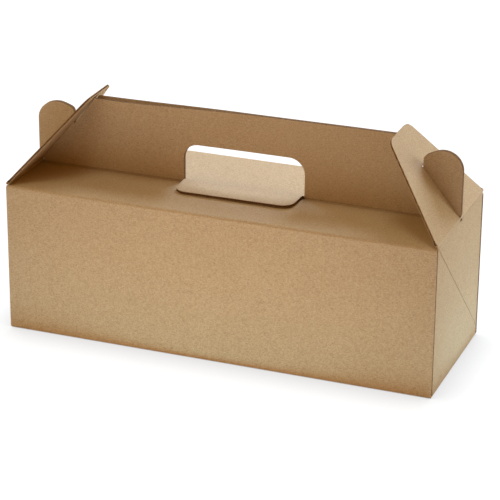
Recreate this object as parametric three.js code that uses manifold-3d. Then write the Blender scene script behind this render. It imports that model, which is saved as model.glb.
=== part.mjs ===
import * as THREE from 'three';
import { mergeVertices } from 'three/addons/utils/BufferGeometryUtils.js';
import Module from 'manifold-3d';

// A carry box folded from one die-cut blank of fine-flute corrugated board.
// Millimetres. X runs along the box, Y from front to back, Z up.
// The origin is under the middle of the bottom panel.
// The two end flaps lean in over the top panels, and the handle's ears stand through
// a slot in each of them, which holds the box shut.

// Box, measured over the outside of the board
const boxLength = 300;
const boxDepth = 108;
const boxHeight = 104;
const boardThickness = 1.5;
const sharpFoldRadius = 1.0;
const lidFoldRadius = 1.2;
const runningGap = 0.3;

// Handle: two plies that stand back to back on the inner edges of the top panels
const handleHeight = 52;
const plyGap = 0.3;
const shoulderGap = 1.0;
const earReach = 47.0;
const earCornerRadius = 13;
const earBottomRise = 2.2;
const earWidth = 26.5;
const earHookRadius = 4;

// Hand hole through both plies, and the tab that is folded forward out of it
const holeWidth = 86;
const holeHeight = 27.3;
const holeCornerRadius = 11;
const tabLength = 24.6;
const tabLift = 1.0;
const tabRampLength = 5;
const tabFoldRadius = 3;
const tabSideGap = 0.5;
const tabTaper = 1.2;
const tabCornerRadius = 8.5;

// End flaps, hinged on the top edges of the end panels, a board above the top panels
const flapLean = 39.5;
const flapHeight = 69;
const flapTaper = 26.6;
const flapCornerRadius = 9.5;
const flapSideGap = 0.3;
const slotStart = 1.7;
const slotSideGap = 0.35;

// End panels, with a glue flap at each upright edge and one diagonal score
const cornerFoldRadius = 1.3;
const glueFlapWidth = 26;
const glueFlapBevel = 9;
const glueFlapGap = 1.2;
const glueBite = 0.05;
const scoreWidth = 1.0;
const scoreDepth = 0.35;
const scoreFootRise = 7;

// Facets in a quarter turn of a fold, and in one arc of a cut edge
const foldFacets = 5;
const cutFacets = 10;

// Worked out from the sizes above
const halfBoard = boardThickness / 2;
const lean = THREE.MathUtils.degToRad(flapLean);
const plyMiddle = plyGap / 2 + halfBoard;
const plyOuter = plyGap / 2 + boardThickness;
const handleTop = boxHeight + handleHeight;
const panelLevel = boxHeight - halfBoard;
const tabLevel = boxHeight + tabLift + halfBoard;
const hingeX = boxLength / 2 - halfBoard;
const hingeZ = boxHeight + boardThickness;
const flapSeat = halfBoard + runningGap;
const endPanelTop = hingeZ - flapSeat;
const topPanelEnd = boxLength / 2 - boardThickness - runningGap;
const lidFoldStart = panelLevel - lidFoldRadius;
const slotEnd = earReach + runningGap;
const slotHalfWidth = plyOuter + slotSideGap;
const hingeRelief = Math.hypot(slotStart, halfBoard) + runningGap;
const clear = 5;

const wasm = await Module();
wasm.setup();

// A closed geometry as a solid that can be joined and cut
function toSolid(geometry) {
  geometry.deleteAttribute('normal');
  geometry.deleteAttribute('uv');
  const merged = mergeVertices(geometry, 1e-4);
  return new wasm.Manifold(new wasm.Mesh({
    numProp: 3,
    vertProperties: Float32Array.from(merged.attributes.position.array),
    triVerts: Uint32Array.from(merged.index.array),
  }));
}

function toGeometry(solid) {
  const mesh = solid.getMesh();
  const geometry = new THREE.BufferGeometry();
  geometry.setAttribute('position', new THREE.BufferAttribute(mesh.vertProperties, 3));
  geometry.setIndex(new THREE.BufferAttribute(mesh.triVerts, 1));
  geometry.computeVertexNormals();
  return geometry;
}

function extrude(shape, depth) {
  return new THREE.ExtrudeGeometry(shape, { depth, bevelEnabled: false, curveSegments: cutFacets });
}

// A section drawn in (y, z) and run along X
function alongX(shape, from, to) {
  const geometry = extrude(shape, to - from);
  geometry.applyMatrix4(new THREE.Matrix4().makeBasis(
    new THREE.Vector3(0, 1, 0),
    new THREE.Vector3(0, 0, 1),
    new THREE.Vector3(1, 0, 0),
  ));
  geometry.translate(from, 0, 0);
  return toSolid(geometry);
}

// An outline drawn in (x, z) and run along Y, turned half round Z for the left end
function alongY(shape, from, to, leftEnd = false) {
  const geometry = extrude(shape, to - from);
  geometry.rotateX(Math.PI / 2);
  geometry.translate(0, to, 0);
  geometry.rotateZ(leftEnd ? Math.PI : 0);
  return toSolid(geometry);
}

// A plan drawn in (x, y) and run up Z, turned half round Z for the left end
function alongZ(shape, from, to, leftEnd = false) {
  const geometry = extrude(shape, to - from);
  geometry.translate(0, 0, from);
  geometry.rotateZ(leftEnd ? Math.PI : 0);
  return toSolid(geometry);
}

function block(x, y, z) {
  const geometry = new THREE.BoxGeometry(x[1] - x[0], y[1] - y[0], z[1] - z[0]);
  geometry.translate((x[0] + x[1]) / 2, (y[0] + y[1]) / 2, (z[0] + z[1]) / 2);
  return toSolid(geometry);
}

// The end view of a folded sheet: a centre line that bends round each inner point,
// with half the board's thickness on each side of it
function foldedStrip(points, radii) {
  const line = points.map(([u, v]) => new THREE.Vector2(u, v));
  const heading = (i) => line[i + 1].clone().sub(line[i]).normalize();
  const leftOf = (d) => new THREE.Vector2(-d.y, d.x);
  const left = [];
  const right = [];
  const lay = (point, side) => {
    left.push(point.clone().addScaledVector(side, halfBoard));
    right.push(point.clone().addScaledVector(side, -halfBoard));
  };
  lay(line[0], leftOf(heading(0)));
  radii.forEach((radius, fold) => {
    const before = heading(fold);
    const turn = Math.atan2(before.cross(heading(fold + 1)), before.dot(heading(fold + 1)));
    const side = leftOf(before);
    const bend = Math.sign(turn) * radius;
    const pivot = line[fold + 1].clone()
      .addScaledVector(before, -radius * Math.tan(Math.abs(turn) / 2))
      .addScaledVector(side, bend);
    const steps = Math.ceil(foldFacets * Math.abs(turn) / (Math.PI / 2)) + 1;
    for (let step = 0; step <= steps; step += 1) {
      const outward = side.clone().rotateAround(new THREE.Vector2(), turn * step / steps);
      lay(pivot.clone().addScaledVector(outward, -bend), outward);
    }
  });
  lay(line.at(-1), leftOf(heading(line.length - 2)));
  return new THREE.Shape([...left, ...right.reverse()]);
}

// A polygon whose corners are rounded, each by its own radius
function roundedOutline(corners) {
  const at = corners.map(([u, v]) => new THREE.Vector2(u, v));
  const points = [];
  corners.forEach(([, , radius], i) => {
    if (!radius) {
      points.push(at[i]);
      return;
    }
    const back = at.at(i - 1).clone().sub(at[i]).normalize();
    const on = at[(i + 1) % at.length].clone().sub(at[i]).normalize();
    const halfCorner = Math.acos(back.dot(on)) / 2;
    const middle = back.clone().add(on).normalize();
    const pivot = at[i].clone().addScaledVector(middle, radius / Math.sin(halfCorner));
    const first = at[i].clone().addScaledVector(back, radius / Math.tan(halfCorner)).sub(pivot);
    const sweep = Math.sign(on.cross(back)) * (Math.PI - 2 * halfCorner);
    for (let step = 0; step <= cutFacets; step += 1) {
      points.push(first.clone().rotateAround(new THREE.Vector2(), sweep * step / cutFacets).add(pivot));
    }
  });
  return new THREE.Shape(points);
}

// Front wall, bottom and back wall, with the top panels and the plies that end them,
// as one strip of board folded round the box
function wrapSection() {
  const wall = boxDepth / 2 - halfBoard;
  return foldedStrip([
    [-plyMiddle, handleTop],
    [-plyMiddle, panelLevel],
    [-wall, panelLevel],
    [-wall, halfBoard],
    [wall, halfBoard],
    [wall, panelLevel],
    [plyMiddle, panelLevel],
    [plyMiddle, handleTop],
  ], [
    sharpFoldRadius, lidFoldRadius, sharpFoldRadius,
    sharpFoldRadius, lidFoldRadius, sharpFoldRadius,
  ]);
}

// Where the slanted side of the handle lies at a level: close under the leaning flap
function handleSideAt(level) {
  const stand = halfBoard + shoulderGap;
  return hingeX - (stand + (level - hingeZ) * Math.sin(lean)) / Math.cos(lean);
}

// One ear: upright on both sides, with round corners, and between them an arc about the
// flap's fold, so that the end of the slot can swing off it
function earOutline() {
  const outerX = boxLength / 2;
  const innerX = outerX - earWidth;
  const cornerX = outerX - earCornerRadius;
  const hookX = innerX + earHookRadius;
  const above = (x, reach) => hingeZ + Math.sqrt(reach ** 2 - (hingeX - x) ** 2);
  const cornerZ = above(cornerX, earReach - earCornerRadius);
  const hookZ = above(hookX, earReach - earHookRadius);
  const cornerTangent = Math.atan2(cornerZ - hingeZ, cornerX - hingeX);
  const hookTangent = Math.atan2(hookZ - hingeZ, hookX - hingeX);
  const foot = boxHeight + earBottomRise;
  const ear = new THREE.Shape();
  ear.moveTo(outerX, foot);
  ear.lineTo(outerX, cornerZ);
  ear.absarc(cornerX, cornerZ, earCornerRadius, 0, cornerTangent);
  ear.absarc(hingeX, hingeZ, earReach, cornerTangent, hookTangent);
  ear.absarc(hookX, hookZ, earHookRadius, hookTangent, Math.PI);
  ear.lineTo(innerX, foot);
  return ear;
}

// The side view of the handle, as thick as both plies and some room beside them
function handleSilhouette(room) {
  const foot = boxHeight - sharpFoldRadius;
  const plies = new THREE.Shape([
    new THREE.Vector2(-handleSideAt(foot), foot),
    new THREE.Vector2(handleSideAt(foot), foot),
    new THREE.Vector2(handleSideAt(handleTop), handleTop),
    new THREE.Vector2(-handleSideAt(handleTop), handleTop),
  ]);
  const handHole = roundedOutline([
    [-holeWidth / 2, foot - clear, 0],
    [holeWidth / 2, foot - clear, 0],
    [holeWidth / 2, boxHeight + holeHeight, holeCornerRadius],
    [-holeWidth / 2, boxHeight + holeHeight, holeCornerRadius],
  ]);
  return alongY(plies, -room, room)
    .add(alongY(earOutline(), -room, room))
    .add(alongY(earOutline(), -room, room, true))
    .subtract(alongY(handHole, -room - clear, room + clear));
}

// The tab: it leaves the back top panel at the fold, climbs over the edge of the front
// top panel inside the hand hole, and lies on it
function handTab() {
  const rampStart = plyOuter;
  const halfWidth = holeWidth / 2 - tabSideGap;
  const root = rampStart + sharpFoldRadius + boardThickness;
  const section = foldedStrip([
    [root, panelLevel],
    [rampStart, panelLevel],
    [rampStart - tabRampLength, tabLevel],
    [-tabLength, tabLevel],
  ], [tabFoldRadius, tabFoldRadius]);
  const plan = roundedOutline([
    [tabTaper - halfWidth, -tabLength, tabCornerRadius],
    [halfWidth - tabTaper, -tabLength, tabCornerRadius],
    [halfWidth, root, 0],
    [-halfWidth, root, 0],
  ]);
  return alongX(section, -halfWidth, halfWidth)
    .intersect(alongZ(plan, panelLevel - clear, tabLevel + clear));
}

// An end panel with its two glue flaps, folded in behind the front and back walls
function endWall(leftEnd) {
  const flapLine = boxDepth / 2 - boardThickness - halfBoard + glueBite;
  const flapTip = hingeX - glueFlapWidth;
  const wall = alongZ(foldedStrip([
    [flapTip, -flapLine],
    [hingeX, -flapLine],
    [hingeX, flapLine],
    [flapTip, flapLine],
  ], [cornerFoldRadius, cornerFoldRadius]), 0, endPanelTop, leftEnd);
  const flapTop = lidFoldStart - glueFlapGap;
  const flapFoot = boardThickness + glueFlapGap;
  const foldLine = hingeX - cornerFoldRadius;
  const trim = new THREE.Shape([
    new THREE.Vector2(foldLine, flapTop),
    new THREE.Vector2(flapTip + glueFlapBevel, flapTop),
    new THREE.Vector2(flapTip, flapTop - glueFlapBevel),
    new THREE.Vector2(flapTip, flapFoot + glueFlapBevel),
    new THREE.Vector2(flapTip + glueFlapBevel, flapFoot),
    new THREE.Vector2(foldLine, flapFoot),
    new THREE.Vector2(foldLine, -clear),
    new THREE.Vector2(flapTip - clear, -clear),
    new THREE.Vector2(flapTip - clear, endPanelTop + clear),
    new THREE.Vector2(foldLine, endPanelTop + clear),
  ]);
  return wall.subtract(alongY(trim, -boxDepth, boxDepth, leftEnd));
}

// The diagonal score on both end panels, along which they fold when the box is stored flat
function diagonalScore() {
  const edge = boxDepth / 2 - boardThickness;
  const run = new THREE.Vector2(2 * edge, scoreFootRise - endPanelTop).normalize();
  const half = new THREE.Vector2(-run.y, run.x).multiplyScalar(scoreWidth / 2);
  const top = new THREE.Vector2(-edge, endPanelTop);
  const foot = new THREE.Vector2(edge, scoreFootRise);
  const line = new THREE.Shape([
    top.clone().sub(half),
    foot.clone().sub(half),
    foot.clone().add(half),
    top.clone().add(half),
  ]);
  const face = boxLength / 2;
  return alongX(line, face - scoreDepth, face + clear)
    .add(alongX(line, -face - clear, scoreDepth - face));
}

// What the end flap's fold and the slot's edge sweep through at one end
function hingeRoom(leftEnd) {
  const circle = new THREE.Shape();
  circle.absarc(hingeX, hingeZ, hingeRelief, 0, 2 * Math.PI);
  return alongY(circle, -slotHalfWidth, slotHalfWidth, leftEnd);
}

function foldedCarton() {
  const half = boxLength / 2;
  const side = boxDepth / 2 + clear;
  const room = plyOuter + plyGap;
  const silhouette = handleSilhouette(room);
  const offcuts = block([-half - clear, half + clear], [-room, room], [boxHeight, handleTop + clear])
    .subtract(silhouette);
  const inside = boxDepth / 2 - boardThickness;
  const lidEnd = [lidFoldStart - boardThickness, boxHeight + earBottomRise];
  const lidEnds = block([topPanelEnd, half + clear], [-inside, inside], lidEnd)
    .add(block([-half - clear, -topPanelEnd], [-inside, inside], lidEnd));
  const tabRecess = block(
    [-holeWidth / 2, holeWidth / 2],
    [plyOuter - tabRampLength - runningGap, 0],
    [boxHeight - 2 * boardThickness, boxHeight + boardThickness]);
  const roundedEnds = roundedOutline([
    [-half, 0, sharpFoldRadius + halfBoard],
    [half, 0, sharpFoldRadius + halfBoard],
    [half, handleTop + clear, 0],
    [-half, handleTop + clear, 0],
  ]);
  return alongX(wrapSection(), -half, half)
    .subtract(offcuts)
    .subtract(lidEnds)
    .subtract(tabRecess)
    .add(handTab())
    .add(endWall(false))
    .add(endWall(true))
    .intersect(alongY(roundedEnds, -side, side))
    .subtract(hingeRoom(false))
    .subtract(hingeRoom(true))
    .subtract(diagonalScore());
}

// An end flap, drawn across its fold and up its slope, with the board's middle at zero
function endFlap() {
  const halfWidth = boxDepth / 2 - flapSideGap;
  const topHalfWidth = halfWidth - flapHeight * Math.tan(THREE.MathUtils.degToRad(flapTaper));
  const sheet = roundedOutline([
    [-halfWidth, 0, 0],
    [halfWidth, 0, 0],
    [topHalfWidth, flapHeight, flapCornerRadius],
    [-topHalfWidth, flapHeight, flapCornerRadius],
  ]);
  const slot = new THREE.Shape([
    new THREE.Vector2(-slotHalfWidth, slotStart),
    new THREE.Vector2(slotHalfWidth, slotStart),
    new THREE.Vector2(slotHalfWidth, slotEnd),
    new THREE.Vector2(-slotHalfWidth, slotEnd),
  ]);
  const fold = new THREE.CylinderGeometry(halfBoard, halfBoard, 2 * halfWidth, 4 * foldFacets);
  fold.rotateZ(Math.PI / 2);
  return toGeometry(alongZ(sheet, -halfBoard, halfBoard)
    .add(toSolid(fold))
    .subtract(alongZ(slot, -boardThickness, boardThickness)));
}

const kraftBoard = new THREE.MeshStandardMaterial({ color: 0xbe9c76, roughness: 0.85, metalness: 0 });
const kraftFlap = new THREE.MeshStandardMaterial({ color: 0xbc9d78, roughness: 0.85, metalness: 0 });

function namedMesh(name, geometry, material) {
  const mesh = new THREE.Mesh(geometry, material);
  mesh.name = name;
  return mesh;
}

// A flap at its hinge on one end, leaning in by its angle from upright
function placedFlap(name, leftEnd) {
  const mesh = namedMesh(name, endFlap(), kraftFlap);
  mesh.position.set(hingeX, 0, hingeZ);
  mesh.quaternion.setFromRotationMatrix(new THREE.Matrix4().makeBasis(
    new THREE.Vector3(0, 1, 0),
    new THREE.Vector3(-Math.sin(lean), 0, Math.cos(lean)),
    new THREE.Vector3(Math.cos(lean), 0, Math.sin(lean)),
  ));
  const end = new THREE.Group();
  end.rotation.z = leftEnd ? Math.PI : 0;
  end.add(mesh);
  return end;
}

const carryBox = new THREE.Group();
carryBox.add(namedMesh('folded_carton', toGeometry(foldedCarton()), kraftBoard));
carryBox.add(placedFlap('left_end_flap', true));
carryBox.add(placedFlap('right_end_flap', false));

export default carryBox;
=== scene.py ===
from math import cos, pi, radians, sin

import bmesh
import bpy
from mathutils import Matrix, Vector


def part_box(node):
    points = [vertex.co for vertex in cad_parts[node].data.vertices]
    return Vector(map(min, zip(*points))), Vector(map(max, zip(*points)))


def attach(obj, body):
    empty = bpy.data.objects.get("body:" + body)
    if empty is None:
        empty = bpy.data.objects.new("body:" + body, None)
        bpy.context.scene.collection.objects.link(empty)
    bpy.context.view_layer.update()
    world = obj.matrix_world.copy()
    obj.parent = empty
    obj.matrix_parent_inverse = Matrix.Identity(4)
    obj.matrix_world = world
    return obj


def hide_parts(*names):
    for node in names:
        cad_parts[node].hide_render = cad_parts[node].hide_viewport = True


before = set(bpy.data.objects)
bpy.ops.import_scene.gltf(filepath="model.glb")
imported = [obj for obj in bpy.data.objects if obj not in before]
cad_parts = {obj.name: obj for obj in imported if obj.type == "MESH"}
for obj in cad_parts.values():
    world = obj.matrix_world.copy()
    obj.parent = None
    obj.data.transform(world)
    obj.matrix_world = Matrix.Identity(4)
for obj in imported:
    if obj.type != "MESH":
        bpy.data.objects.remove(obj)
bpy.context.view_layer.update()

# A carry box folded from fine-flute kraft board. Metres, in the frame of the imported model,
# whose front looks along -y and whose handle stands over the middle.
MM = 0.001

# The board: two liners with a waved medium between them
BOARD = 1.5 * MM
LINER = 0.36 * MM
MEDIUM = 0.17 * MM
FLUTE_PITCH = 2.8 * MM
FLUTE_STEPS = 8

# How unevenly the flutes are crushed and spaced
FLUTE_CRUSH = 0.14
CRUSH_WAVES = (410, 137)
FLUTE_DRIFT = 0.5
DRIFT_WAVE = 290

# The board's cut edges, where the liners stand as lips round a sunken middle
CUT_DEPTH = 0.45 * MM
CUT_DRAFT = 0.02 * MM
SHARP_CORNER = radians(62)

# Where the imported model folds
CARTON_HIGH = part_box("folded_carton")[1]
HALF_LENGTH = CARTON_HIGH.x
HALF_DEPTH = CARTON_HIGH.y
HANDLE_TOP = CARTON_HIGH.z
LID_TOP = 104 * MM
HINGE_X = HALF_LENGTH - BOARD / 2
HINGE_Z = LID_TOP + BOARD

# The end flaps and their slots, measured up the flap from its fold
FLAP_LEAN = radians(39.5)
FLAP_HEIGHT = 69 * MM
SLOT_END_CAD = 47.3 * MM
SLOT_END = 42.1 * MM
SLOT_FOOT_CAD = 1.7 * MM
SLOT_FOOT = {-1: 0.95 * MM, 1: 0.45 * MM}
SLOT_REACH = 3 * MM
RELIEF_HALF = 2.3 * MM

# The pressed necks of board between the end panels and the flaps
NECK_DEPTH = 2.6 * MM
NECK_THICKNESS = BOARD * 0.97
NECK_ROUND = 0.7 * MM
NECK_FRONT_END = -51.4 * MM
NECK_BACK_END = HALF_DEPTH - 1.7 * MM

# The handle's two plies, all within PLIES_REACH of the middle plane, and the tab
PLY_MIDDLE = 0.9 * MM
PLIES_REACH = 3 * MM
TAB_LENGTH = 24.6 * MM
TAB_HALF_WIDTH = 42.5 * MM
TAB_LEVEL = LID_TOP + 1.0 * MM + BOARD / 2
TAB_MEDIUM_MIDDLE = TAB_LENGTH * 0.75
TAB_MEDIUM_LENGTH = TAB_LENGTH * 0.55

# Where the carton's skin is cut across to bend
BEND_COLUMNS = [x * MM for x in range(-125, 126, 5)]
BEND_ROWS = [z * MM for z in range(116, 156, 6)]

# How far the soft board has given way from the stiff solids
TAB_DROP = 0.55 * MM
TAB_RIGHT_LIFT = 0.45 * MM
LID_BOW = 1.0 * MM
LEFT_EAR_DROP = 2.2 * MM
CROWN_MIDDLE = 1.1 * MM
CROWN_RIGHT = 0.5 * MM
FRONT_PLY_LEAN = Vector((1.3 * MM, 3.6 * MM, 0.5 * MM))

# Colours, as a share of the light that the surface gives back
KRAFT_LINER = (0.50, 0.372, 0.238)
KRAFT_DARK_FIBRE = (0.33, 0.222, 0.125)
# Pale fibres; also the painted highlight along the flaps' fold
KRAFT_PALE_FIBRE_AND_HIGHLIGHT = (0.60, 0.475, 0.325)
# Bark flecks; also the painted shade along the fold at the handle's foot
KRAFT_BARK_FLECK_AND_FOLD_SHADE = (0.16, 0.092, 0.045)
CUT_MEDIUM = (0.25, 0.14, 0.066)
# Painted shade: the dark of the hollows between the flutes, also on the right slot's foot and the
# plies' left ends
PAINTED_HOLLOW_SHADE = (0.06, 0.027, 0.010)
# The cut liner's own brown at the lips, in two tones: darker on the carton as painted shade, paler on
# the flaps as painted light
CARTON_LIP_PAINTED_SHADE = (0.25, 0.14, 0.065)
FLAP_LIP_PAINTED_LIGHT = (0.42, 0.26, 0.14)
PAPER_GLOSS = 0.12

# Noise scales of the paper, and the turn and scale of each layer of its short fibres
CLOUDS = 26
BLOTCHES = 140
GRAIN = 1250
TORN_ENDS = 1700
TOOTH = 2600
FIBRE_STRETCH = (0.22, 1.0, 1.0)
FIBRE_LAYERS = (((0, 0.2, 0.3), 2600), ((0.5, 1.3, -0.6), 2200), ((1.2, -0.5, 1.1), 2400))

# Fold lines in the paper, painted as a highlight on the flaps and as shade at the handle's foot, and
# how dark its ribs are
FOLD_LINE_EDGE = 0.8 * MM
FOLD_LINE_CORE = 0.2 * MM
FLAP_FOLD_LINE = HINGE_Z + 0.2 * MM
HANDLE_FOLD_LINE = LID_TOP + 0.3 * MM
RIB_SHADE = 0.035

# Places of the cut edges' finishes on the carton and the flaps, after the liner: the hollows' painted
# shade, then the lips
PAINTED_SHADE_SLOT = 1
LIP_SLOT = 2

# The camera, worked out from the box's edges as seen
CAMERA_PLACE = (0.50147, -1.3223, 0.65245)
CAMERA_AZIMUTH = radians(20.603)
CAMERA_ELEVATION = radians(22.736)
CAMERA_ROLL = radians(0.521)
CAMERA_LENS = 163.58
CAMERA_SENSOR = 36

# The floor and the world round it
FLOOR_SIZE = 8
FLOOR_PAPER = (0.060, 0.062, 0.066)
FLOOR_GLOW = 1.03
# Painted contact shadow: how far the floor's glow dims next to the box, and within what reach
PAINTED_CONTACT_SHADOW = 0.55
PAINTED_SHADOW_REACH = 0.035
WORLD_COLOR = (1.0, 0.43, 0.0, 1)
WORLD_STRENGTH = 0.325


class Signal:
    """A shader socket whose operators add Math nodes."""

    def __init__(self, finish, socket):
        self.finish = finish
        self.socket = socket

    def __add__(self, other):
        return self.finish.math("ADD", self, other)

    __radd__ = __add__

    def __sub__(self, other):
        return self.finish.math("SUBTRACT", self, other)

    def __rsub__(self, other):
        return self.finish.math("SUBTRACT", other, self)

    def __mul__(self, other):
        return self.finish.math("MULTIPLY", self, other)

    __rmul__ = __mul__

    def __abs__(self):
        return self.finish.math("ABSOLUTE", self)


class Finish:
    """One procedural finish, built round the material's own Principled shader."""

    def __init__(self, name):
        self.material = bpy.data.materials.new(name)
        self.material.use_nodes = True
        self.tree = self.material.node_tree
        self.shader = self.tree.nodes["Principled BSDF"]

    def feed(self, socket, value):
        if isinstance(value, Signal):
            self.tree.links.new(value.socket, socket)
        elif isinstance(value, tuple) and socket.type == "RGBA":
            socket.default_value = (*value, 1)
        else:
            socket.default_value = value

    def node(self, kind, settings=None, sockets=None, result=0):
        made = self.tree.nodes.new("ShaderNode" + kind)
        for name, value in (settings or {}).items():
            setattr(made, name, value)
        for name, value in (sockets or {}).items():
            self.feed(made.inputs[name], value)
        return Signal(self, made.outputs[result])

    def math(self, operation, *values):
        return self.node("Math", {"operation": operation}, dict(enumerate(values)))

    def mix(self, share, first, second):
        return self.node("Mix", {"data_type": "RGBA"}, {0: share, 6: first, 7: second}, 2)

    def ramp(self, value, start, end):
        """0 at start and 1 at end, with a smooth step between."""
        return self.node("MapRange", {"interpolation_type": "SMOOTHSTEP"},
                         {"Value": value, "From Min": start, "From Max": end})

    def noise(self, place, scale, detail=2.0, roughness=0.5):
        return self.node("TexNoise", None, {"Vector": place, "Scale": scale, "Detail": detail,
                                            "Roughness": roughness})

    def stretched(self, place, turn, stretch):
        return self.node("Mapping", None, {"Vector": place, "Rotation": turn, "Scale": stretch})

    def axes(self, vector):
        """The x, y and z of a vector."""
        first = self.node("SeparateXYZ", None, {0: vector})
        return [Signal(self, socket) for socket in first.socket.node.outputs]

    def set(self, **values):
        for name, value in values.items():
            self.feed(self.shader.inputs[name.replace("_", " ")], value)


def fold_band(finish, height, middle):
    """1 on a fold's line and 0 clear of it."""
    return finish.ramp(abs(height - middle), FOLD_LINE_EDGE, FOLD_LINE_CORE)


def flap_fold_painted_highlight(finish, tone, z):
    """The painted highlight along the pressed fold of an end flap."""
    return finish.mix(fold_band(finish, z, FLAP_FOLD_LINE) * 0.25, tone, KRAFT_PALE_FIBRE_AND_HIGHLIGHT)


def handle_fold_painted_shade(finish, tone, x, y, z):
    """Painted shade: a dark line along the fold at the foot of the handle's plies, on both sides of
    the tab.
    """
    beside_tab = finish.ramp(abs(x), TAB_HALF_WIDTH + 0.8 * MM, TAB_HALF_WIDTH + 1.6 * MM)
    under_plies = finish.ramp(abs(y), 5 * MM, 4 * MM)
    fold_shade_mask = fold_band(finish, z, HANDLE_FOLD_LINE) * beside_tab * under_plies
    return finish.mix(fold_shade_mask * 0.32, tone, KRAFT_BARK_FLECK_AND_FOLD_SHADE)


def flute_waves(finish, run):
    return finish.math("SINE", run * (2 * pi / FLUTE_PITCH))


def carton_ribs(finish, x, y):
    """The flutes cross the long panels, and the end panels the other way."""
    facing_x = finish.axes(finish.node("NewGeometry", result="Normal"))[0]
    on_end = finish.ramp(abs(facing_x), 0.5, 0.8)
    along = flute_waves(finish, x)
    return along + (flute_waves(finish, y) - along) * on_end


def kraft_liner(name, on_flaps):
    """Kraft liner paper: soft clouds, short fibres lying three ways, bark flecks, a fold line
    with a painted highlight on the flaps and painted shade at the handle's foot, and the faint ribs
    of the flutes below."""
    finish = Finish(name)
    place = finish.node("TexCoord", result="Object")
    x, y, z = finish.axes(place)
    clouds = finish.noise(place, CLOUDS, 3.0, 0.55)
    blotches = finish.noise(place, BLOTCHES, 2.0, 0.6)
    grain = finish.noise(place, GRAIN, 2.0, 0.75)
    tooth = finish.noise(place, TOOTH, 3.0, 0.65)
    fibres = [finish.noise(finish.stretched(place, turn, FIBRE_STRETCH), scale, 2.0, 0.65)
              for turn, scale in FIBRE_LAYERS]
    cloudy = finish.ramp(clouds, 0.30, 0.70) * 0.07 + finish.ramp(blotches, 0.35, 0.7) * 0.06
    pale = finish.ramp(fibres[1], 0.53, 0.68) * 0.62 + finish.ramp(grain, 0.50, 0.34) * 0.38
    dark = finish.ramp(grain, 0.50, 0.66) * 0.46 + finish.ramp(fibres[0], 0.53, 0.68) * 0.50
    flecks = finish.ramp(fibres[2], 0.655, 0.73) * 0.7
    tone = finish.mix(cloudy, KRAFT_LINER, KRAFT_DARK_FIBRE)
    tone = finish.mix(pale, tone, KRAFT_PALE_FIBRE_AND_HIGHLIGHT)
    tone = finish.mix(dark, tone, KRAFT_DARK_FIBRE)
    tone = finish.mix(flecks, tone, KRAFT_BARK_FLECK_AND_FOLD_SHADE)
    if on_flaps:
        tone = flap_fold_painted_highlight(finish, tone, z)
        ribs = flute_waves(finish, y)
    else:
        tone = handle_fold_painted_shade(finish, tone, x, y, z)
        ribs = carton_ribs(finish, x, y)
    tone = finish.mix(0.5 + 0.5 * ribs, tone, finish.mix(RIB_SHADE, tone, KRAFT_DARK_FIBRE))
    relief = ribs * 0.020 + fibres[0] * 0.05 + tooth * 0.035 + blotches * 0.03
    bump = finish.node("Bump", None, {"Strength": 0.55, "Distance": 1.0 * MM, "Height": relief})
    finish.set(Base_Color=tone, Roughness=0.80 + 0.10 * clouds + 0.06 * tooth, Normal=bump,
               Specular_IOR_Level=PAPER_GLOSS)
    return finish.material


def cut_finish(name, color, pale_share):
    """Torn paper ends in the cut edge of the board, over a given colour, which for the hollows is
    painted shade.
    """
    finish = Finish(name)
    place = finish.node("TexCoord", result="Object")
    ends = finish.noise(place, TORN_ENDS, 3.0, 0.7)
    tone = finish.mix(finish.ramp(ends, 0.42, 0.72) * pale_share, color, KRAFT_DARK_FIBRE)
    bump = finish.node("Bump", None, {"Strength": 0.8, "Distance": 0.4 * MM, "Height": ends})
    finish.set(Base_Color=tone, Roughness=0.95, Normal=bump, Specular_IOR_Level=PAPER_GLOSS)
    return finish.material


def deselect_all():
    if bpy.context.object and bpy.context.object.mode != "OBJECT":
        bpy.ops.object.mode_set(mode="OBJECT")
    bpy.ops.object.select_all(action="DESELECT")


def activate(piece):
    deselect_all()
    piece.select_set(True)
    bpy.context.view_layer.objects.active = piece


def edit(piece, kind="FACE"):
    activate(piece)
    bpy.ops.object.mode_set(mode="EDIT")
    bpy.ops.mesh.select_mode(type=kind)
    return bmesh.from_edit_mesh(piece.data)


def finish_editing():
    bpy.ops.object.mode_set(mode="OBJECT")


def apply_modifier(piece, modifier):
    activate(piece)
    bpy.ops.object.modifier_apply(modifier=modifier.name)


def smooth_folds(piece):
    """Round folds shade smooth, and the flat panels between them stay flat."""
    activate(piece)
    bpy.ops.object.shade_smooth_by_angle(angle=radians(32))
    even = piece.modifiers.new("flat_panels", "WEIGHTED_NORMAL")
    even.keep_sharp = True
    even.weight = 100
    apply_modifier(piece, even)


def copied_board(node_name, name):
    """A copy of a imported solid, merged into one clean skin of large faces."""
    piece = bpy.data.objects.new(name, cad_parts[node_name].data.copy())
    bpy.context.scene.collection.objects.link(piece)
    edit(piece, "VERT")
    bpy.ops.mesh.select_all(action="SELECT")
    bpy.ops.mesh.remove_doubles(threshold=0.002 * MM)
    bpy.ops.mesh.dissolve_limited(angle_limit=radians(0.4))
    finish_editing()
    return piece


def is_cut_face(face):
    """Whether a face is the board's cut edge: narrow, with two sharp outer corners one board
    apart. The bottom's ends are folds, so nothing down there is one."""
    if 2 * face.calc_area() / face.calc_perimeter() > BOARD:
        return False
    if max(vertex.co.z for vertex in face.verts) < 1.5 * BOARD:
        return False
    corners = [edge for edge in face.edges
               if edge.is_convex and edge.calc_face_angle(0) > SHARP_CORNER]
    for first in corners:
        start = first.verts[0].co
        run = (first.verts[1].co - start).normalized()
        for second in corners:
            other = (second.verts[1].co - second.verts[0].co).normalized()
            offset = second.verts[0].co - start
            apart = (offset - run * offset.dot(run)).length
            parallel = second is not first and abs(run.dot(other)) > 0.999
            if parallel and abs(apart - BOARD) < 0.12 * BOARD:
                return True
    return False


def wear(piece, *finishes):
    piece.data.materials.clear()
    for finish in finishes:
        piece.data.materials.append(finish)


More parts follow.
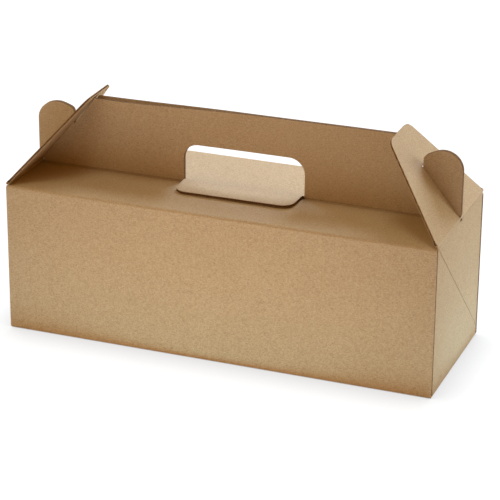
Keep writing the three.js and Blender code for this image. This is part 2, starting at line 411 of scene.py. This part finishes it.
def open_cut_edges(piece):
    """Sink the middle of every cut edge, so that both liners stand as thin lips round a middle that
    wears painted shade.
    """
    shape = edit(piece)
    for face in shape.faces:
        face.select_set(is_cut_face(face))
    shape.select_flush_mode()
    bmesh.update_edit_mesh(piece.data)
    piece.active_material_index = LIP_SLOT
    bpy.ops.object.material_slot_assign()
    bpy.ops.mesh.inset(thickness=LINER, depth=0, use_even_offset=True)
    piece.active_material_index = PAINTED_SHADE_SLOT
    bpy.ops.object.material_slot_assign()
    bpy.ops.mesh.inset(thickness=CUT_DRAFT, depth=-CUT_DEPTH, use_even_offset=True)
    finish_editing()


def paint_shade_on_ply_ends(carton):
    """Painted shade: the plies' left ends beside the flap, lips and all, wear the hollows' dark
    colour.
    """
    for face in carton.data.polygons:
        beside_flap = -0.128 < face.center.x < -0.09 and abs(face.center.y) < 7 * MM
        if face.material_index == LIP_SLOT and beside_flap and face.normal.x < -0.4:
            face.material_index = PAINTED_SHADE_SLOT


def slice_board(piece, axis, places):
    """Cut a piece's skin across at each place, so that it can bend there."""
    edit(piece)
    direction = Vector(axis)
    for place in places:
        bpy.ops.mesh.select_all(action="SELECT")
        bpy.ops.mesh.bisect(plane_co=direction * place, plane_no=direction)
    finish_editing()


def fit_slot(piece, side):
    """End the slot close above the ear, where soft board gives way as the flap swings off it,
    and open its foot down to the fold."""
    along = Vector((-side * sin(FLAP_LEAN), 0, cos(FLAP_LEAN)))
    hinge = Vector((side * HINGE_X, 0, HINGE_Z))
    for old, new in ((SLOT_END_CAD, SLOT_END), (SLOT_FOOT_CAD, SLOT_FOOT[side])):
        shape = edit(piece, "VERT")
        for vertex in shape.verts:
            reach = (vertex.co - hinge).dot(along)
            vertex.select_set(abs(vertex.co.y) < SLOT_REACH and abs(reach - old) < 0.4 * MM)
        bmesh.update_edit_mesh(piece.data)
        bpy.ops.transform.translate(value=along * (new - old))
        finish_editing()


def smooth_step(value, start, end):
    share = min(1, max(0, (value - start) / (end - start)))
    return share * share * (3 - 2 * share)


def tab_settling(point):
    """The tab lies down on the top panel, but less so at its right end."""
    right_end = TAB_RIGHT_LIFT * (1 + point.x / TAB_HALF_WIDTH) / 2
    return (right_end - TAB_DROP) * smooth_step(-point.y, PLIES_REACH, 16 * MM)


def lid_bowing(point):
    """The back top panel bows up in the middle of its outer edge."""
    bow = smooth_step(point.y, 4 * MM, HALF_DEPTH) * smooth_step(point.z, 0.06, LID_TOP)
    return LID_BOW * bow * (1 - smooth_step(abs(point.x), 0.05, 0.12))


def ear_settling(point):
    """The left ears' tops are pulled down."""
    pulled = smooth_step(point.z, 0.118, 0.146) * smooth_step(-point.x, 0.120, 0.142)
    return LEFT_EAR_DROP * pulled


def handle_crown(point):
    """The handle's top edge rises towards its middle, and a little more to the right."""
    crown = CROWN_MIDDLE * smooth_step(point.x, -0.10, 0.0)
    crown += CROWN_RIGHT * smooth_step(point.x, 0.0, 0.10)
    crown *= 1 - smooth_step(point.x, 0.114, 0.122)
    return crown * smooth_step(point.z, 0.139, HANDLE_TOP)


def front_ply_standing(point):
    """The front ply's top corner beside the left flap stands off the back ply."""
    along = smooth_step(point.x, -0.1215, -0.102) * smooth_step(-point.x, -0.02, 0.085)
    return FRONT_PLY_LEAN * along * smooth_step(point.z, 0.118, HANDLE_TOP)


def given_way(point):
    """Where a point of the stiff solid lies once the soft board has given way."""
    at_tab_height = LID_TOP + 0.4 * MM < point.z < LID_TOP + 4 * MM
    if point.y < -PLIES_REACH and at_tab_height and abs(point.x) < TAB_HALF_WIDTH + MM:
        return point + Vector((0, 0, tab_settling(point)))
    if point.y > PLIES_REACH:
        return point + Vector((0, 0, lid_bowing(point)))
    if abs(point.y) < PLIES_REACH:
        point = point - Vector((0, 0, ear_settling(point)))
        point = point + Vector((0, 0, handle_crown(point)))
    if -PLIES_REACH < point.y < 0 and point.z > LID_TOP + 8 * MM:
        point = point - front_ply_standing(point)
    return point


def bend_board(piece):
    for vertex in piece.data.vertices:
        place = given_way(vertex.co)
        place.x = min(HALF_LENGTH, max(-HALF_LENGTH, place.x))
        vertex.co = place


def waved_medium(name, width, length, placement, board):
    """The waved middle paper of one panel, cut to the outline of its board."""
    deselect_all()
    columns = round(width / FLUTE_PITCH) * FLUTE_STEPS
    bpy.ops.mesh.primitive_grid_add(x_subdivisions=columns, y_subdivisions=8, size=1)
    sheet = bpy.context.object
    sheet.name = name
    height = (BOARD - MEDIUM) / 2 - LINER
    for vertex in sheet.data.vertices:
        run = vertex.co.x * width
        phase = 2 * pi * run / FLUTE_PITCH + FLUTE_DRIFT * sin(run * DRIFT_WAVE)
        crush = 1 - FLUTE_CRUSH + FLUTE_CRUSH * sin(run * CRUSH_WAVES[0]) * sin(run * CRUSH_WAVES[1])
        vertex.co = (run, vertex.co.y * length, height * crush * sin(phase))
    sheet.matrix_world = placement
    activate(sheet)
    bpy.ops.object.transform_apply(location=True, rotation=True, scale=True)
    wall = sheet.modifiers.new("paper", "SOLIDIFY")
    wall.thickness = MEDIUM
    wall.offset = 0
    apply_modifier(sheet, wall)
    trim = sheet.modifiers.new("outline", "BOOLEAN")
    trim.operation = "INTERSECT"
    trim.solver = "EXACT"
    trim.object = board
    apply_modifier(sheet, trim)
    smooth_folds(sheet)
    return sheet


def upright_placement(y, z):
    return Matrix.Translation((0, y, z)) @ Matrix.Rotation(radians(90), 4, "X")


def flap_placement(side):
    along = Vector((-sin(FLAP_LEAN), 0, cos(FLAP_LEAN)))
    outward = Vector((cos(FLAP_LEAN), 0, sin(FLAP_LEAN)))
    center = Vector((HINGE_X, 0, HINGE_Z)) + along * FLAP_HEIGHT / 2
    leaning = Matrix((
        (0, along.x, outward.x, center.x),
        (1, along.y, outward.y, center.y),
        (0, along.z, outward.z, center.z),
        (0, 0, 0, 1),
    ))
    return leaning if side > 0 else Matrix.Rotation(pi, 4, "Z") @ leaning


def flap_crease(name, side, near, far, top):
    """One stretch of the pressed neck between an end panel and its flap, from near to far
    across, up to a height."""
    deselect_all()
    foot = HINGE_Z - NECK_DEPTH
    middle = (side * HINGE_X, (near + far) / 2, (foot + top) / 2)
    size = (NECK_THICKNESS, abs(far - near), top - foot)
    bpy.ops.mesh.primitive_cube_add(size=1, location=middle, scale=size)
    neck = bpy.context.object
    neck.name = name
    bpy.ops.object.transform_apply(location=True, rotation=True, scale=True)
    shape = edit(neck, "EDGE")
    for edge in shape.edges:
        ends = [vertex.co for vertex in edge.verts]
        on_top = all(abs(end.z - top) < 0.01 * MM for end in ends)
        edge.select_set(on_top and abs(ends[0].y - ends[1].y) > MM)
    bmesh.update_edit_mesh(neck.data)
    bpy.ops.mesh.bevel(offset=NECK_ROUND, segments=5, affect="EDGES")
    finish_editing()
    smooth_folds(neck)
    return neck


def build_carton(liner, hollow_shade_paint, cut_lip, cut_medium):
    """The box, its top panels, the handle's two plies and the tab, all one board."""
    carton = copied_board("folded_carton", "carton_board")
    handle_height = HANDLE_TOP - LID_TOP
    mediums = []
    for name, y in (("front_ply_medium", -PLY_MIDDLE), ("back_ply_medium", PLY_MIDDLE)):
        placement = upright_placement(y, LID_TOP + handle_height / 2)
        mediums.append(waved_medium(name, 2 * HALF_LENGTH, handle_height + 2 * MM, placement, carton))
    tab_middle = Matrix.Translation((0, -TAB_MEDIUM_MIDDLE, TAB_LEVEL))
    tab_medium = waved_medium("tab_medium", 2 * TAB_HALF_WIDTH, TAB_MEDIUM_LENGTH, tab_middle, carton)
    for sheet in (*mediums, tab_medium):
        bend_board(sheet)
        wear(sheet, cut_medium)
        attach(sheet, "carton")
    wear(carton, liner, hollow_shade_paint, cut_lip)
    open_cut_edges(carton)
    slice_board(carton, (1, 0, 0), BEND_COLUMNS)
    slice_board(carton, (0, 0, 1), BEND_ROWS)
    bend_board(carton)
    paint_shade_on_ply_ends(carton)
    smooth_folds(carton)
    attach(carton, "carton")
    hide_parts("folded_carton")


def build_end_flap(label, side, liner, hollow_shade_paint, cut_lip, cut_medium):
    """One end flap, with the pressed necks that carry it."""
    node_name = label + "_end_flap"
    body = label + "_flap"
    flap = copied_board(node_name, label + "_flap_board")
    fit_slot(flap, side)
    placement = flap_placement(side)
    medium = waved_medium(label + "_flap_medium", 2 * HALF_DEPTH, FLAP_HEIGHT, placement, flap)
    wear(medium, cut_medium)
    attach(medium, body)
    wear(flap, liner, hollow_shade_paint, cut_lip)
    open_cut_edges(flap)
    smooth_folds(flap)
    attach(flap, body)
    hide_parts(node_name)
    stretches = (("front", NECK_FRONT_END, -RELIEF_HALF, HINGE_Z),
                 ("back", RELIEF_HALF, NECK_BACK_END, HINGE_Z),
                 ("slot", -RELIEF_HALF, RELIEF_HALF, HINGE_Z - BOARD / 2))
    for part, near, far, top in stretches:
        neck = flap_crease(f"{label}_{part}_crease", side, near, far, top)
        # The right slot's stretch wears painted shade: a dark hole at the ear's foot
        wear(neck, hollow_shade_paint if (part, side) == ("slot", 1) else liner)
        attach(neck, "carton")


def build_box():
    liner = kraft_liner("kraft_liner", on_flaps=False)
    flap_liner = kraft_liner("kraft_flap_liner", on_flaps=True)
    # Painted shade for the hollows in the cut edges
    hollow_shade_paint = cut_finish("cut_edge_painted_shade", PAINTED_HOLLOW_SHADE, 0.25)
    # The lips: painted shade on the carton's, painted light on the flaps'
    cut_lip = cut_finish("cut_lip", CARTON_LIP_PAINTED_SHADE, 0.5)
    lit_flap_lip = cut_finish("lit_flap_cut_lip", FLAP_LIP_PAINTED_LIGHT, 0.5)
    cut_medium = cut_finish("cut_medium", CUT_MEDIUM, 0.5)
    build_carton(liner, hollow_shade_paint, cut_lip, cut_medium)
    for label, side in (("left", -1), ("right", 1)):
        build_end_flap(label, side, flap_liner, hollow_shade_paint, lit_flap_lip, cut_medium)


def add_camera():
    data = bpy.data.cameras.new("photo_camera")
    data.sensor_width = CAMERA_SENSOR
    data.lens = CAMERA_LENS
    camera = bpy.data.objects.new("photo_camera", data)
    bpy.context.scene.collection.objects.link(camera)
    place = Matrix.Translation(CAMERA_PLACE)
    turn = Matrix.Rotation(CAMERA_AZIMUTH, 4, "Z")
    tilt = Matrix.Rotation(radians(90) - CAMERA_ELEVATION, 4, "X")
    camera.matrix_world = place @ turn @ tilt @ Matrix.Rotation(CAMERA_ROLL, 4, "Z")
    bpy.context.scene.camera = camera


def add_lamp(name, position, target, size, power, color, height=None):
    """An oval lamp that looks at a target. Without a height it is round."""
    data = bpy.data.lights.new(name, "AREA")
    data.shape = "ELLIPSE"
    data.size = size
    data.size_y = height or size
    data.energy = power
    data.color = color
    lamp = bpy.data.objects.new(name, data)
    bpy.context.scene.collection.objects.link(lamp)
    lamp.location = position
    lamp.rotation_euler = (Vector(target) - Vector(position)).to_track_quat("-Z", "Y").to_euler()
    lamp.visible_camera = False


def add_lamps():
    """Windows behind and to the left, weak light from above and in front, and the light that
    a white table throws back on the walls."""
    middle = (0, 0, 0.08)
    add_lamp("back_window", (0.15, 1.4, 1.5), middle, 1.3, 45.0, (0.67, 0.83, 1.0))
    add_lamp("low_back_window", (0.05, 1.8, 0.85), (0, 0, 0.11), 0.7, 13.5, (0.57, 0.72, 1.0))
    add_lamp("back_left_window", (-1.3, 1.1, 1.1), middle, 0.8, 14.1, (0.47, 0.70, 1.0))
    add_lamp("right_back_window", (0.9, 0.5, 0.35), (0.15, 0, 0.06), 0.5, 2.8, (0.88, 1.0, 0.89))
    add_lamp("left_window", (-2.0, 0.0, 0.6), middle, 1.0, 14.1, (0.99, 1.0, 0.60))
    add_lamp("overhead", (0, 0, 2.2), middle, 0.8, 8.4, (0.95, 1.0, 0.82))
    add_lamp("front_window", (-1.1, -1.75, 0.95), middle, 1.2, 4.8, (1.0, 1.0, 0.93))
    add_lamp("front_low_card", (0.0, -0.13, 0.004), (0, -0.054, 0.02), 0.3, 0.128, (1.0, 0.76, 0.58))
    add_lamp("front_floor_card", (0.0, -0.106, 0.002), (0, -0.106, 1), 0.40, 0.089,
             (0.40, 0.85, 1.0), 0.10)
    add_lamp("right_floor_card", (0.205, 0.015, 0.002), (0.205, 0.015, 1), 0.10, 0.056,
             (0.42, 0.78, 1.0), 0.18)


def white_floor():
    """White to the camera and in reflections, with the object's soft shadow kept on it, and a painted
    contact shadow next to the box.
    """
    finish = Finish("studio_floor")
    finish.set(Base_Color=(0.9, 0.9, 0.9), Roughness=0.9)
    seen = finish.node("LightPath", result="Is Camera Ray")
    for kind in ("Is Glossy Ray", "Is Transmission Ray"):
        seen = finish.math("MAXIMUM", seen, finish.node("LightPath", result=kind))
    # Painted contact shadow: the glow dims where the box hems the floor in
    near = 1 - finish.node("AmbientOcclusion", None, {"Distance": PAINTED_SHADOW_REACH}, 1)
    glow = finish.node("Emission", None, {"Color": (1.0, 1.0, 1.0),
                                          "Strength": FLOOR_GLOW - PAINTED_CONTACT_SHADOW * near})
    paper = finish.node("BsdfDiffuse", None, {"Color": FLOOR_PAPER})
    lifted = finish.node("AddShader", None, {0: paper, 1: glow})
    plain = Signal(finish, finish.shader.outputs[0])
    shown = finish.node("MixShader", None, {0: seen, 1: plain, 2: lifted})
    output = finish.tree.nodes["Material Output"]
    finish.feed(output.inputs["Surface"], shown)
    return finish.material


def add_floor():
    deselect_all()
    bpy.ops.mesh.primitive_plane_add(size=FLOOR_SIZE, location=(0, 0, 0))
    floor = bpy.context.object
    floor.name = "floor"
    wear(floor, white_floor())


def add_world():
    world = bpy.data.worlds.new("studio")
    bpy.context.scene.world = world
    world.use_nodes = True
    background = world.node_tree.nodes["Background"]
    background.inputs["Color"].default_value = WORLD_COLOR
    background.inputs["Strength"].default_value = WORLD_STRENGTH


add_camera()
add_floor()
add_lamps()
add_world()
build_box()
bpy.context.scene.view_settings.view_transform = "Standard"
